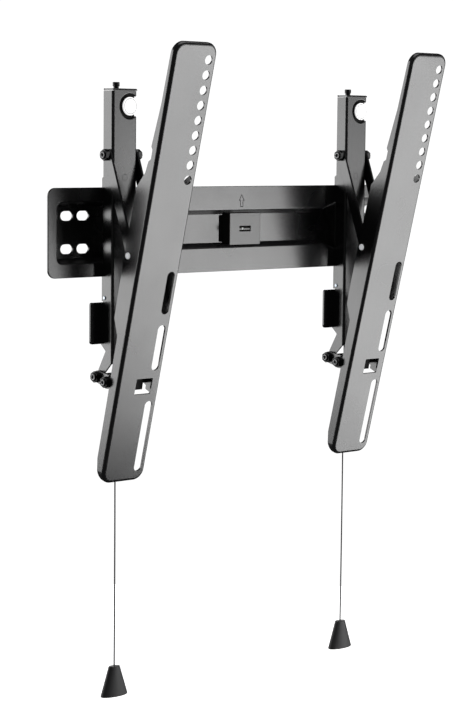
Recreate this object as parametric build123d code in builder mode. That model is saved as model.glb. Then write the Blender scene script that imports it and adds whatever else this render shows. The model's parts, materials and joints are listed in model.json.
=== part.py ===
from build123d import *
from math import cos, pi, radians, sin, tan
import os

# Tilting television wall mount: one pressed wall plate and two hooked brackets.
# Units are millimetres. X runs along the wall, Z is up, the wall is the plane Y = 0 and the
# television hangs on the -Y side. The origin is the middle of the wall plate's back.

# Sheet and clearances
sheet = 2.0
bend = 2.4
gap = 0.3
running = 0.05

# Wall plate
plate_width = 505.0
plate_height = 89.4
plate_corner = 9.0
stand_off = 12.0
press_radius = 1.6
end_border = 11.0
pocket_half = 30.5
pocket_length = 87.5
trough_half = 19.5
flare_length = 33.0
wall_run = 4.6
floor_corner = 1.5
edge_round = 0.6
slots_from_end = 29.2
slot_pitch_x = 20.2
slot_pitch_z = 33.0
slot_length = 15.5
slot_width = 9.5
arrow_height = 13.6
arrow_head = 6.9
arrow_width = 7.9
arrow_shaft = 4.2
arrow_line = 0.7
arrow_depth = 0.4
arrow_x = 1.6
arrow_foot_z = 22.6

# Bubble level
level_width = 43.8
level_height = 34.0
level_front = 19.5
level_step = 7.6
level_foot_half = 14.3
level_edge = 1.5
vial_window_width = 16.2
vial_window_height = 6.2
vial_radius = 3.2
vial_length = 22.0
vial_y = 14.5

# Bracket spacing, and the channel's middle seen from the rail's middle
bracket_spacing = 325.0
channel_x = -6.4

# Channel
channel_width = 31.0
channel_front = 27.2
channel_top = 143.0
channel_foot = -132.0
top_tab_rear = 8.0
notch_radius = 12.75
notch_x = -0.25
notch_z = 125.5
notch_edge = 0.8
foot_tab_width = 14.6
foot_tab_top = -70.5
foot_tab_bottom = -112.6
foot_tab_front = 10.5
ear_radius = 6.4
lug_z = -94.0
lug_width = 10.0
lug_opening = 19.0

# Four-bar tilt linkage in the Y-Z plane: A and B on the channel, P and C on the rail
tilt = 14.5
pivot_a_y = -21.4
pivot_a_z = 77.2
pivot_b_y = -6.8
pivot_b_z = -146.0
arm_length = 105.4
arm_angle = 20.6
pivot_spacing = 132.4
pivot_depth = 18.5
arm_thickness = 2.5
arm_width = 11.5
link_width = 12.4
link_eye_radius = 7.0
link_web_ahead = 10.0
link_web_above = 3.5
link_web_below = 7.5
open_pivot_slack = 1.9

# Rail
rail_width = 54.0
rail_length = 455.0
rail_corner = 12.0
rail_bend = 3.5
shallow_flange = 5.2
flange_round = 1.2
flange_ear_radius = 7.0
rail_depth = 28.0
pivot_from_top = 218.5
hole_from_edge = 10.0
hole_diameter = 9.5
hole_pitch = 15.0
hole_count = 9
first_hole = 16.5
upper_slot_top = 230.7
upper_slot_length = 44.6
middle_slot_length = 48.2
lower_slot_end = 10.6
slot_bridge = 11.5
window_bridge = 8.0
window_height = 17.0
window_left = -4.2
window_width = 20.8
rail_slot_width = 9.6
cord_gap = 20.0
cord_gap_depth = 2.6

# Fasteners
bolt_radius = 3.0
nut_flats = 10.0
nut_height = 4.4
collar_radius = 4.2
collar_height = 1.5
rivet_radius = 2.5
rivet_head_radius = 3.3
rivet_head_height = 1.4
spacer_radius = 4.0
screw_radius = 2.0
screw_head_radius = 3.5
screw_head_height = 4.3
screw_neck = 2.2
screw_neck_radius = 2.7
screw_ring_radius = 3.2
screw_ring_height = 1.2
screw_y = 12.7
screw_tip = 50.0
guide_radius = 3.25
guide_shank_radius = 2.45
guide_tail_radius = 4.0
guide_z = 55.0
height_travel = 4.0

# Hook slide
slide_bottom = 8.0
slide_top = 57.4
hook_rear = 7.3
hook_drop = 36.0

# Latch, its spring, the cord and the pull
latch_web = 22.0
latch_rear = 7.3
latch_tip = -38.0
latch_throat = -49.5
latch_bottom = -69.8
latch_travel = 8.0
latch_tab_side = 2.0
latch_rivet_y = -14.8
latch_rivet_z = -66.0
latch_rivet_radius = 1.5
latch_rivet_head = 2.0
cord_y = -13.0
cord_radius = 0.75
crimp_radius = 1.8
crimp_height = 4.0
spring_radius = 3.4
spring_wire = 0.45
spring_turns = 5
pull_top = -446.0
pull_height = 31.0
pull_top_half = (6.6, 4.0)
pull_foot_half = (17.0, 7.6)

# Bumper
disc_radius = 9.15
disc_thickness = 1.5
disc_proud = 1.0
seat_boss_radius = 8.2
seat_radius = 13.2

os.makedirs("parts", exist_ok=True)

# Places that follow from the sizes above
lean = radians(tilt)
swing = radians(arm_angle)
pivot_p_y = pivot_a_y - arm_length * sin(swing)
pivot_p_z = pivot_a_z - arm_length * cos(swing)
pivot_c_y = pivot_p_y + pivot_spacing * sin(lean)
pivot_c_z = pivot_p_z - pivot_spacing * cos(lean)
pocket_end = plate_width / 2 - end_border
flare_end = pocket_end - pocket_length
flare_start = flare_end - flare_length
slot_centre = pocket_end - slots_from_end
channel_left = channel_x - channel_width / 2
channel_right = channel_x + channel_width / 2
channel_rear = stand_off + gap
rail_half = rail_width / 2
arm_left = channel_left - gap - arm_thickness
arm_right = channel_right + gap
hole_x = rail_half - hole_from_edge
inner_half = channel_width / 2 - sheet - gap
middle_slot_top = upper_slot_top + upper_slot_length + slot_bridge
window_top = middle_slot_top + middle_slot_length + window_bridge
window_foot = window_top + window_height
rail_slots = (
    (upper_slot_top, upper_slot_top + upper_slot_length),
    (middle_slot_top, middle_slot_top + middle_slot_length),
    (window_foot + window_bridge, rail_length - lower_slot_end),
)

# The rail's front face, and the same plane turned to show the rail from its side
face_y = pivot_p_y - pivot_depth * cos(lean)
face_z = pivot_p_z - pivot_depth * sin(lean)
face_plane = Plane(origin=(0, face_y, face_z), x_dir=(1, 0, 0), z_dir=(0, -cos(lean), -sin(lean)))
side_plane = Plane(origin=(0, face_y, face_z), x_dir=(0, cos(lean), sin(lean)), z_dir=(1, 0, 0))


def front(depth):
    """Plane that faces the room, depth in front of the wall."""
    return Plane.XZ.offset(depth)


def across(x):
    """Plane across the bracket at x, seen from its right side."""
    return Plane.YZ.offset(x)


def save(part, name):
    """Write one finished piece."""
    part.label = name
    export_step(part, f"parts/{name}.step")


def recess_points(grow):
    """Right half and left half of the recess outline, grown by an amount all round."""
    quarter = [
        (flare_start, trough_half + grow),
        (flare_end, pocket_half + grow),
        (pocket_end + grow, pocket_half + grow),
    ]
    upper_right = quarter
    lower_right = [(x, -z) for x, z in reversed(quarter)]
    lower_left = [(-x, -z) for x, z in quarter]
    upper_left = [(-x, z) for x, z in reversed(quarter)]
    return upper_right + lower_right + lower_left + upper_left


def recess_sketch(depth, grow):
    """Outline of the pressed recess on a plane in front of the wall."""
    with BuildSketch(front(depth)) as outline:
        with BuildLine():
            Polyline(*recess_points(grow), close=True)
        make_face()
        fillet(outline.vertices(), floor_corner + wall_run + grow)
    return outline.sketch


def arrow_points(inset):
    """Outline of the arrow that points up, or of its inside at an inset all round."""
    half = arrow_width / 2
    neck = arrow_foot_z + arrow_height - arrow_head
    slant = inset * ((1 / half) ** 2 + (1 / arrow_head) ** 2) ** 0.5
    right = [
        (half * (1 - slant - inset / arrow_head), neck + inset),
        (arrow_shaft / 2 - inset, neck + inset),
        (arrow_shaft / 2 - inset, arrow_foot_z + inset),
    ]
    left = [(-x, z) for x, z in reversed(right)]
    outline = [(0, neck + arrow_head * (1 - slant))] + right + left
    return [(arrow_x + x, z) for x, z in outline]


def make_wall_plate():
    """Pressed plate: a raised border round a recess that lies on the wall."""
    with BuildPart() as plate:
        with BuildSketch(front(stand_off - sheet)):
            RectangleRounded(plate_width, plate_height, plate_corner)
        extrude(amount=sheet)
        add(recess_sketch(stand_off, sheet))
        add(recess_sketch(0, sheet - wall_run))
        loft()
        add(recess_sketch(stand_off, 0))
        add(recess_sketch(sheet, -wall_run))
        loft(mode=Mode.SUBTRACT)
        mouth = plate.edges().filter_by_position(Axis.Y, -stand_off - 0.01, -stand_off + 0.01)
        inner = mouth.filter_by(lambda e: abs(e.center().Z) < pocket_half + 1)
        fillet(inner.filter_by(lambda e: abs(e.center().X) < pocket_end + 1), press_radius)
        rim = plate.edges().filter_by_position(Axis.Y, -stand_off - 0.01, -stand_off + 0.01)
        reach_x = plate_width / 2 - plate_corner
        reach_z = plate_height / 2 - plate_corner
        outer = rim.filter_by(lambda e: abs(e.center().Z) > reach_z or abs(e.center().X) > reach_x)
        fillet(outer, edge_round)
        with BuildSketch(front(sheet)):
            for side in (-1, 1):
                with Locations((side * slot_centre, 0)):
                    with GridLocations(slot_pitch_x, slot_pitch_z, 2, 2):
                        SlotOverall(slot_length, slot_width)
        extrude(amount=-sheet, mode=Mode.SUBTRACT)
        with BuildSketch(front(stand_off)):
            with BuildLine():
                Polyline(*arrow_points(0), close=True)
            make_face()
            with BuildLine():
                Polyline(*arrow_points(arrow_line), close=True)
            make_face(mode=Mode.SUBTRACT)
        extrude(amount=-arrow_depth, mode=Mode.SUBTRACT)
    return plate.part


def make_level_housing():
    """Moulded cap that sits in the trough and holds the vial behind a window."""
    with BuildPart() as housing:
        with BuildSketch(front(sheet)):
            RectangleRounded(level_width, 2 * level_foot_half, level_edge)
        extrude(amount=level_step - sheet)
        with BuildSketch(front(level_step)):
            RectangleRounded(level_width, level_height, level_edge)
        extrude(amount=level_front - level_step)
        fillet(housing.faces().sort_by(Axis.Y)[0].edges(), level_edge * 0.6)
        with BuildSketch(front(vial_y)):
            RectangleRounded(vial_window_width, vial_window_height, 0.8)
        extrude(amount=level_front - vial_y, mode=Mode.SUBTRACT)
        with BuildSketch(across(-vial_length / 2 - gap)):
            with Locations((-vial_y, 0)):
                Circle(vial_radius + gap)
        extrude(amount=vial_length + 2 * gap, mode=Mode.SUBTRACT)
    return housing.part


def make_level_vial():
    """Glass vial with rounded ends."""
    with BuildPart() as vial:
        with BuildSketch(across(-vial_length / 2)):
            with Locations((-vial_y, 0)):
                Circle(vial_radius)
        extrude(amount=vial_length)
        fillet(vial.edges(), 0.8)
    return vial.part


def bar(x, start, end, start_radius, end_radius, start_hole, end_hole):
    """Flat bar with round ends from one pivot to another, with a hole at each."""
    run = ((end[0] - start[0]) ** 2 + (end[1] - start[1]) ** 2) ** 0.5
    along = (0, (end[0] - start[0]) / run, (end[1] - start[1]) / run)
    plane = Plane(origin=(x, *start), x_dir=along, z_dir=(1, 0, 0))
    with BuildPart() as plate:
        with BuildSketch(plane) as outline:
            with Locations((0, 0)):
                Circle(start_radius)
            with Locations((run, 0)):
                Circle(end_radius)
            make_hull()
            with Locations((0, 0)):
                Circle(start_hole, mode=Mode.SUBTRACT)
            with Locations((run, 0)):
                Circle(end_hole, mode=Mode.SUBTRACT)
        extrude(amount=arm_thickness)
        rims = plate.edges().filter_by(GeomType.LINE).filter_by(Axis.X, reverse=True)
        fillet(rims, 0.4)
    return plate.part


def make_lower_yoke(b, c):
    """Two short links joined by a web that stands ahead of the foot bolt."""
    run = ((c[0] - b[0]) ** 2 + (c[1] - b[1]) ** 2) ** 0.5
    along = (0, (c[0] - b[0]) / run, (c[1] - b[1]) / run)
    ahead = run + link_web_ahead
    links = [
        bar(x, b, c, link_width / 2, link_eye_radius, bolt_radius + running, bolt_radius + open_pivot_slack)
        for x in (arm_left, arm_right)
    ]
    with BuildPart() as yoke:
        add(links)
        for x in (arm_left, arm_right):
            with BuildSketch(Plane(origin=(x, *b), x_dir=along, z_dir=(1, 0, 0))):
                with BuildLine():
                    Polyline(
                        (run, -link_eye_radius),
                        (run, link_eye_radius),
                        (ahead, link_web_below),
                        (ahead, -link_web_above),
                        close=True,
                    )
                make_face()
                with Locations((run, 0)):
                    Circle(bolt_radius + open_pivot_slack, mode=Mode.SUBTRACT)
            extrude(amount=arm_thickness)
        with BuildSketch(Plane(origin=(arm_left, *b), x_dir=along, z_dir=(1, 0, 0))):
            with Locations((ahead - arm_thickness / 2, (link_web_below - link_web_above) / 2)):
                Rectangle(arm_thickness, link_web_above + link_web_below)
        extrude(amount=arm_right + arm_thickness - arm_left)
    return yoke.part


def rod(x1, x2, y, z, radius):
    """Round bar along X."""
    with BuildPart() as bar_part:
        with BuildSketch(across(x1)):
            with Locations((y, z)):
                Circle(radius)
        extrude(amount=x2 - x1)
    return bar_part.part


def tube(x1, x2, y, z, radius, bore):
    """Spacer tube along X."""
    with BuildPart() as tube_part:
        with BuildSketch(across(x1)):
            with Locations((y, z)):
                Circle(radius)
                Circle(bore, mode=Mode.SUBTRACT)
        extrude(amount=x2 - x1)
    return tube_part.part


def nut(x, side, y, z):
    """Lock nut whose seat is at x: a hexagon with a round collar at its outer end."""
    seat = Plane(origin=(x, y, z), x_dir=(0, 0, 1), z_dir=(side, 0, 0))
    with BuildPart() as nut_part:
        with BuildSketch(seat):
            RegularPolygon(nut_flats / 2, 6, major_radius=False)
        extrude(amount=nut_height)
        with BuildSketch(seat.offset(nut_height)):
            Circle(collar_radius)
        extrude(amount=collar_height)
        fillet(nut_part.faces().sort_by(Axis.X)[-1 if side > 0 else 0].edges(), 0.8)
        with BuildSketch(seat):
            Circle(bolt_radius + running)
        extrude(amount=nut_height + collar_height, mode=Mode.SUBTRACT)
    return nut_part.part


def dome_rivet(x_head, x_tail, side, y, z):
    """Rivet with a domed head outside x_head and a plain shank to x_tail."""
    base = Plane(origin=(x_head, y, z), x_dir=(0, 0, 1), z_dir=(side, 0, 0))
    with BuildPart() as rivet:
        with BuildSketch(base):
            Circle(rivet_head_radius)
        extrude(amount=rivet_head_height)
        tip = rivet.faces().sort_by(Axis.X)[-1 if side > 0 else 0]
        fillet(tip.edges(), rivet_head_height * 0.9)
        with BuildSketch(base):
            Circle(rivet_radius)
        extrude(amount=-abs(x_head - x_tail))
    return rivet.part


def make_channel():
    """Upright U channel with its top tab, notch, foot tab, ears and spring lug."""
    low = pivot_b_z - ear_radius
    with BuildPart() as channel:
        with BuildSketch(Plane.XY.offset(low)) as section:
            with Locations((channel_x, -channel_front / 2)):
                Rectangle(channel_width, channel_front)
            fillet(section.vertices().group_by(Axis.Y)[0], bend)
            with Locations((channel_x, -(channel_front - sheet) / 2)):
                Rectangle(channel_width - 2 * sheet, channel_front - sheet, mode=Mode.SUBTRACT)
        extrude(amount=channel_top - sheet - gap - low)
        with BuildSketch(across(channel_left - 1)):
            with BuildLine():
                Polyline(
                    (-channel_front - 1, channel_top),
                    (-channel_rear, channel_top),
                    (-channel_rear, foot_tab_top),
                    (-foot_tab_front + sheet, foot_tab_top),
                    (-foot_tab_front + sheet, foot_tab_bottom),
                    (pivot_b_y - ear_radius - 3.4, foot_tab_bottom - 7),
                    (pivot_b_y + 1.6, pivot_b_z + ear_radius + 0.6),
                    (pivot_b_y, pivot_b_z),
                    (-12.4, channel_foot - 12),
                    (-channel_front + bend, channel_foot),
                    (-channel_front - 1, channel_foot),
                    close=True,
                )
            make_face()
            with Locations((pivot_b_y, pivot_b_z)):
                Circle(ear_radius)
        extrude(amount=channel_width + 2, mode=Mode.INTERSECT)
        with BuildSketch(Plane.XY.offset(channel_top - sheet)) as tab:
            with Locations((channel_x, -(channel_front + top_tab_rear) / 2)):
                Rectangle(channel_width, channel_front - top_tab_rear)
            fillet(tab.vertices().group_by(Axis.Y)[-1], 7)
        extrude(amount=sheet)
        with BuildSketch(front(channel_front - sheet)):
            with Locations((channel_x, channel_top - 3)):
                Rectangle(channel_width - 2 * bend, 6)
        extrude(amount=sheet)
        crest = channel.edges().filter_by(Axis.X).filter_by_position(
            Axis.Z, channel_top - 0.01, channel_top + 0.01
        )
        fillet(crest.sort_by(Axis.Y)[0], sheet * 0.9)
        foot_tab_x = channel_left + (sheet - foot_tab_width) / 2
        with BuildSketch(front(foot_tab_front)) as foot:
            with Locations((foot_tab_x, (foot_tab_top + foot_tab_bottom) / 2)):
                Rectangle(foot_tab_width + sheet, foot_tab_top - foot_tab_bottom)
            fillet(foot.vertices().group_by(Axis.X)[0], 3)
        extrude(amount=-sheet)
        with BuildSketch(front(channel_front)):
            with Locations((notch_x, notch_z)):
                Circle(notch_radius)
            with Locations((channel_x, guide_z)):
                Circle(guide_radius + running)
            with Locations((channel_x, lug_z + lug_opening / 2)):
                Rectangle(lug_width, lug_opening)
        extrude(amount=-channel_front + top_tab_rear, mode=Mode.SUBTRACT)
        with BuildSketch(Plane.XY.offset(lug_z)):
            with Locations((channel_x, -(channel_front + 5.5) / 2)):
                Rectangle(lug_width, channel_front - 5.5)
            with Locations((channel_x, cord_y)):
                Circle(cord_radius + 1, mode=Mode.SUBTRACT)
        extrude(amount=-sheet)
        with BuildSketch(across(channel_left - 1)):
            with Locations((pivot_a_y, pivot_a_z), (pivot_b_y, pivot_b_z)):
                Circle(bolt_radius + running)
            with Locations((latch_rivet_y, latch_rivet_z)):
                Circle(latch_rivet_radius + running)
        extrude(amount=channel_width + 2, mode=Mode.SUBTRACT)
        with BuildSketch(Plane.XY.offset(channel_top - sheet)):
            with Locations((channel_x, -screw_y)):
                Circle(screw_radius + gap)
        extrude(amount=sheet, mode=Mode.SUBTRACT)
        rim = channel.edges().filter_by(GeomType.CIRCLE).filter_by(
            lambda e: abs(e.radius - notch_radius) < 0.01 and e.center().Y < -channel_front + 0.1
        )
        fillet(rim, notch_edge)
    return channel.part


def make_hook_slide():
    """U slide inside the channel: two hooks over the plate's border and a tapped tab."""
    web = channel_front - sheet - gap
    with BuildPart() as slide:
        with BuildSketch(Plane.XY.offset(slide_bottom)) as section:
            with Locations((channel_x, -(web + hook_rear) / 2)):
                Rectangle(2 * inner_half, web - hook_rear)
            fillet(section.vertices().group_by(Axis.Y)[0], bend)
            with Locations((channel_x, -(web - sheet) / 2)):
                Rectangle(2 * (inner_half - sheet), web - sheet, mode=Mode.SUBTRACT)
        extrude(amount=slide_top - slide_bottom)
        with BuildSketch(across(channel_left)):
            with BuildLine():
                Polyline(
                    (-web - 1, slide_top),
                    (-hook_rear - 7, slide_top),
                    (-hook_rear, slide_top - 3.4),
                    (-hook_rear, hook_drop),
                    (-stand_off + sheet + gap, hook_drop),
                    (-stand_off + sheet + gap, plate_height / 2 + gap),
                    (-channel_rear, plate_height / 2 + gap),
                    (-channel_rear, slide_bottom),
                    (-web - 1, slide_bottom),
                    close=True,
                )
            make_face()
        extrude(amount=channel_width, mode=Mode.INTERSECT)
        with BuildSketch(Plane.XY.offset(slide_top - sheet)) as tab:
            with Locations((channel_x, -(web + hook_rear) / 2)):
                Rectangle(2 * (inner_half - sheet - 1), web - hook_rear)
            fillet(tab.vertices().group_by(Axis.Y)[-1], 5)
            with Locations((channel_x, -screw_y)):
                Circle(screw_radius + running, mode=Mode.SUBTRACT)
        extrude(amount=sheet)
        notch_low = guide_z - height_travel - guide_shank_radius - gap
        with BuildSketch(front(web)):
            with Locations((channel_x, (notch_low + slide_top + 10) / 2)):
                SlotOverall(slide_top + 10 - notch_low, 2 * (guide_shank_radius + gap), rotation=90)
        extrude(amount=-sheet, mode=Mode.SUBTRACT)
        with BuildSketch(Plane.XY.offset(slide_top - sheet)):
            with Locations((channel_x, -web)):
                RectangleRounded(2 * (guide_tail_radius + gap), 2 * (sheet + 2.2), 1.5)
        extrude(amount=sheet, mode=Mode.SUBTRACT)
    return slide.part


def make_guide_rivet():
    """Rivet flush with the channel's web, whose shank and tail ride in the slide's notch."""
    web = channel_front - sheet
    tail = web - gap - sheet - gap
    with BuildPart() as rivet:
        with BuildSketch(front(web)):
            with Locations((channel_x, guide_z)):
                Circle(guide_radius)
        extrude(amount=sheet)
        fillet(rivet.faces().sort_by(Axis.Y)[0].edges(), 0.4)
        with BuildSketch(front(tail)):
            with Locations((channel_x, guide_z)):
                Circle(guide_shank_radius)
        extrude(amount=web - tail)
        with BuildSketch(front(tail)):
            with Locations((channel_x, guide_z)):
                Circle(guide_tail_radius)
        extrude(amount=-1.2)
    return rivet.part


def make_height_screw():
    """Socket head screw that lifts the channel on the slide."""
    seat = channel_top + screw_neck
    with BuildPart() as screw:
        with Locations((channel_x, -screw_y, screw_tip)):
            Cylinder(screw_radius, seat - screw_tip, align=(Align.CENTER, Align.CENTER, Align.MIN))
        with Locations((channel_x, -screw_y, channel_top)):
            Cylinder(screw_neck_radius, screw_neck, align=(Align.CENTER, Align.CENTER, Align.MIN))
        with Locations((channel_x, -screw_y, channel_top - sheet - running)):
            Cylinder(screw_ring_radius, screw_ring_height, align=(Align.CENTER, Align.CENTER, Align.MAX))
        with Locations((channel_x, -screw_y, seat)):
            Cylinder(screw_head_radius, screw_head_height, align=(Align.CENTER, Align.CENTER, Align.MIN))
        fillet(screw.faces().sort_by(Axis.Z)[-1].edges(), 0.5)
        with BuildSketch(Plane.XY.offset(seat + screw_head_height)):
            with Locations((channel_x, -screw_y)):
                RegularPolygon(1.7, 6)
        extrude(amount=-2.4, mode=Mode.SUBTRACT)
        chamfer(screw.faces().sort_by(Axis.Z)[0].edges(), 0.5)
    return screw.part


def make_bumper_seat():
    """Black moulded seat behind the notch."""
    back = channel_front - sheet
    with BuildPart() as seat:
        with BuildSketch(front(back - sheet)):
            with Locations((notch_x, notch_z)):
                Circle(seat_radius)
            with Locations((channel_x, notch_z)):
                Rectangle(2 * inner_half, 4 * seat_radius, mode=Mode.INTERSECT)
        extrude(amount=sheet)
        with BuildSketch(front(back)):
            with Locations((notch_x, notch_z)):
                Circle(seat_boss_radius)
            with Locations((channel_x, notch_z)):
                Rectangle(2 * inner_half, 4 * seat_radius, mode=Mode.INTERSECT)
        extrude(amount=sheet + disc_proud - disc_thickness)
    return seat.part


def make_bumper_disc():
    """White disc with a fine ring near its rim."""
    with BuildPart() as disc:
        with BuildSketch(front(channel_front + disc_proud - disc_thickness)):
            with Locations((notch_x, notch_z)):
                Circle(disc_radius)
        extrude(amount=disc_thickness)
        fillet(disc.faces().sort_by(Axis.Y)[0].edges(), 0.4)
        with BuildSketch(front(channel_front + disc_proud)):
            with Locations((notch_x, notch_z)):
                Circle(disc_radius - 1.7)
                Circle(disc_radius - 2.1, mode=Mode.SUBTRACT)
        extrude(amount=-0.4, mode=Mode.SUBTRACT)
    return disc.part


def left_flange_edge(fold_nut):
    """The left flange's wavy edge: distance from the rail's top, depth behind its face."""
    return [
        (-1.0, shallow_flange),
        (rail_corner + 2, shallow_flange + 1.0),
        (62.0, 7.2),
        (fold_nut - 7.5, 11.2),
        (fold_nut - 4.6, 8.8),
        (fold_nut + 4.6, 8.8),
        (fold_nut + 7.5, 11.8),
        (132.5, 13.8),
        (149.5, 23.0),
        (205.0, 24.0),
        (258.0, 24.0),
        (284.5, 23.4),
        (301.0, 14.2),
        (336.0, 14.0),
        (368.0, 13.4),
        (rail_length - 2 * rail_corner, 13.2),
        (rail_length - rail_corner, 10.6),
        (rail_length + 1, shallow_flange),
    ]


def right_flange_edge(fold_bolt):
    """The right flange's edge: shallow beside the holes and slots, deep at the two pivots."""
    return [
        (-1.0, shallow_flange),
        (131.0, shallow_flange),
        (149.5, 23.0),
        (205.0, 24.0),
        (258.0, 24.0),
        (280.0, 23.4),
        (292.0, shallow_flange),
        (fold_bolt - 11.5, shallow_flange),
        (fold_bolt - 6.0, pivot_depth),
        (fold_bolt + 11.0, pivot_depth),
        (fold_bolt + 13.0, shallow_flange),
        (rail_length + 1, shallow_flange),
    ]


def make_rail():
    """Deep drawn front rail: hole column, long slots, window and wavy side flanges."""
    middle = pivot_from_top - rail_length / 2
    fold_nut = pivot_from_top - arm_length
    with BuildPart() as rail:
        with BuildSketch(face_plane):
            with Locations((0, middle)):
                RectangleRounded(rail_width, rail_length, rail_corner)
        extrude(amount=-rail_depth)
        face_edges = rail.edges().filter_by(
            lambda e: abs(face_plane.to_local_coords(e.center()).Z) < 0.01
        )
        fillet(face_edges, rail_bend)
        back = rail.faces().filter_by(
            lambda f: abs(face_plane.to_local_coords(f.center()).Z + rail_depth) < 0.01
        )
        offset(amount=-sheet, openings=back)
        fold_bolt = pivot_from_top + pivot_spacing
        for side, outline in ((-1, left_flange_edge(fold_nut)), (1, right_flange_edge(fold_bolt))):
            with BuildSketch(side_plane) as profile:
                with BuildLine():
                    Polyline(
                        *[(depth, pivot_from_top - down) for down, depth in outline],
                        (rail_depth + 5, pivot_from_top - rail_length - 1),
                        (rail_depth + 5, pivot_from_top + 1),
                        close=True,
                    )
                make_face()
                bends = [v for v in profile.vertices() if v.X < rail_depth]
                fillet([v for v in bends if abs(v.Y - middle) < rail_length / 2], flange_round)
                with Locations((pivot_depth, -pivot_spacing)):
                    Circle(flange_ear_radius, mode=Mode.SUBTRACT)
            extrude(amount=side * (rail_half + 1), mode=Mode.SUBTRACT)
        with BuildSketch(side_plane):
            with Locations((pivot_depth, 0)):
                Circle(rivet_radius + running)
            with Locations((pivot_depth, -pivot_spacing)):
                Circle(bolt_radius + running)
        extrude(amount=rail_half + 1, both=True, mode=Mode.SUBTRACT)
        with BuildSketch(face_plane):
            for i in range(hole_count):
                with Locations((hole_x, pivot_from_top - first_hole - i * hole_pitch)):
                    Circle(hole_diameter / 2)
            for top, bottom in rail_slots:
                with Locations((hole_x, pivot_from_top - (top + bottom) / 2)):
                    SlotOverall(bottom - top, rail_slot_width, rotation=90)
            window_middle = pivot_from_top - window_top - window_height / 2
            with Locations((window_left + window_width / 2, window_middle)):
                RectangleRounded(window_width, window_height, 1.2)
        extrude(amount=-sheet, mode=Mode.SUBTRACT)
        with BuildSketch(face_plane.offset(-cord_gap_depth)):
            with Locations((channel_x, pivot_from_top - rail_length)):
                Rectangle(cord_gap, 4 * sheet)
        extrude(amount=-rail_depth, mode=Mode.SUBTRACT)
    return rail.part


def make_latch():
    """Sprung catch inside the channel: two teeth behind the plate's lower border."""
    with BuildPart() as latch:
        with BuildSketch(Plane.XY.offset(latch_bottom)) as section:
            with Locations((channel_x, -(latch_web + latch_rear) / 2)):
                Rectangle(2 * inner_half, latch_web - latch_rear)
            fillet(section.vertices().group_by(Axis.Y)[0], bend)
            with Locations((channel_x, -(latch_web - sheet) / 2)):
                Rectangle(2 * (inner_half - sheet), latch_web - sheet, mode=Mode.SUBTRACT)
        extrude(amount=latch_tip - latch_bottom)
        with BuildSketch(across(channel_left)):
            with BuildLine():
                Polyline(
                    (-latch_web - 1, latch_throat),
                    (-stand_off + sheet + gap, latch_throat),
                    (-stand_off + sheet + gap, latch_tip),
                    (-latch_rear - 1.2, latch_tip),
                    (-latch_rear, latch_tip - 3),
                    (-latch_rear, latch_bottom),
                    (-latch_web - 1, latch_bottom),
                    close=True,
                )
            make_face()
        extrude(amount=channel_width, mode=Mode.INTERSECT)
        with BuildSketch(Plane.XY.offset(latch_bottom)) as tab:
            with Locations((channel_x, -(latch_web + latch_rear) / 2)):
                Rectangle(2 * (inner_half - sheet - latch_tab_side), latch_web - latch_rear)
            fillet(tab.vertices().group_by(Axis.Y)[-1], 4)
            with Locations((channel_x, cord_y)):
                Circle(cord_radius + gap, mode=Mode.SUBTRACT)
        extrude(amount=sheet)
        guide_width = 2 * (latch_rivet_radius + gap)
        with BuildSketch(across(channel_left)):
            with Locations((latch_rivet_y, latch_rivet_z + latch_travel / 2)):
                SlotOverall(latch_travel + guide_width, guide_width, rotation=90)
        extrude(amount=channel_width, mode=Mode.SUBTRACT)
    return latch.part


def make_latch_rivets():
    """Two guide rivets, one through each wall of the channel and its slot in the latch."""
    wall = sheet + gap + sheet
    rivets = []
    for side in (-1, 1):
        outer = channel_x + side * channel_width / 2
        base = Plane(origin=(outer, latch_rivet_y, latch_rivet_z), x_dir=(0, 0, 1), z_dir=(side, 0, 0))
        with BuildPart() as rivet:
            with BuildSketch(base):
                Circle(latch_rivet_head)
            extrude(amount=0.9)
            fillet(rivet.faces().sort_by(Axis.X)[-1 if side > 0 else 0].edges(), 0.6)
            with BuildSketch(base):
                Circle(latch_rivet_radius)
            extrude(amount=-wall - gap)
            with BuildSketch(base.offset(-wall - gap)):
                Circle(latch_rivet_radius + 1.2)
            extrude(amount=-0.8)
        rivets.append(rivet.part)
    return Compound(children=rivets)


def make_latch_spring():
    """Compression spring round the cord, between the channel's lug and the latch."""
    length = latch_bottom - lug_z - 2 * spring_wire
    pitch = length / spring_turns
    path = Helix(pitch, length, spring_radius, center=(channel_x, cord_y, lug_z + spring_wire))
    with BuildPart() as spring:
        with BuildSketch(Plane(path @ 0, z_dir=path % 0)):
            Circle(spring_wire)
        sweep(path=path, is_frenet=True)
    return spring.part


def make_cord():
    """Thin release cord, almost straight under the weight of its pull."""
    route = [
        (channel_x, cord_y, latch_bottom + sheet),
        (channel_x - 0.1, cord_y, -200),
        (channel_x + 0.4, cord_y, -330),
        (channel_x, cord_y, pull_top),
    ]
    radii = []
    for before, here, after in zip(route, route[1:], route[2:]):
        first = Vector(*here) - Vector(*before)
        second = Vector(*after) - Vector(*here)
        turn = radians(first.get_angle(second))
        radii.append(0.45 * min(first.length, second.length) / tan(turn / 2))
    print("cord radii", [round(r) for r in radii])
    with BuildPart() as cord:
        with BuildLine() as path:
            FilletPolyline(*route, radius=radii)
        wire = path.wires()[0]
        with BuildSketch(Plane(wire @ 0, z_dir=wire % 0)):
            Circle(cord_radius)
        sweep(path=wire)
    share = cord.part.volume / (pi * cord_radius ** 2 * wire.length)
    print("cord length", round(wire.length, 1), "volume over length times section", round(share, 4))
    return cord.part


def make_cord_crimp():
    """Sleeve crimped on the cord's top end, resting on the latch."""
    with BuildPart() as crimp:
        with Locations((channel_x, cord_y, latch_bottom + sheet)):
            Cylinder(crimp_radius, crimp_height, align=(Align.CENTER, Align.CENTER, Align.MIN))
        fillet(crimp.faces().sort_by(Axis.Z)[-1].edges(), 0.6)
    return crimp.part


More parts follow.
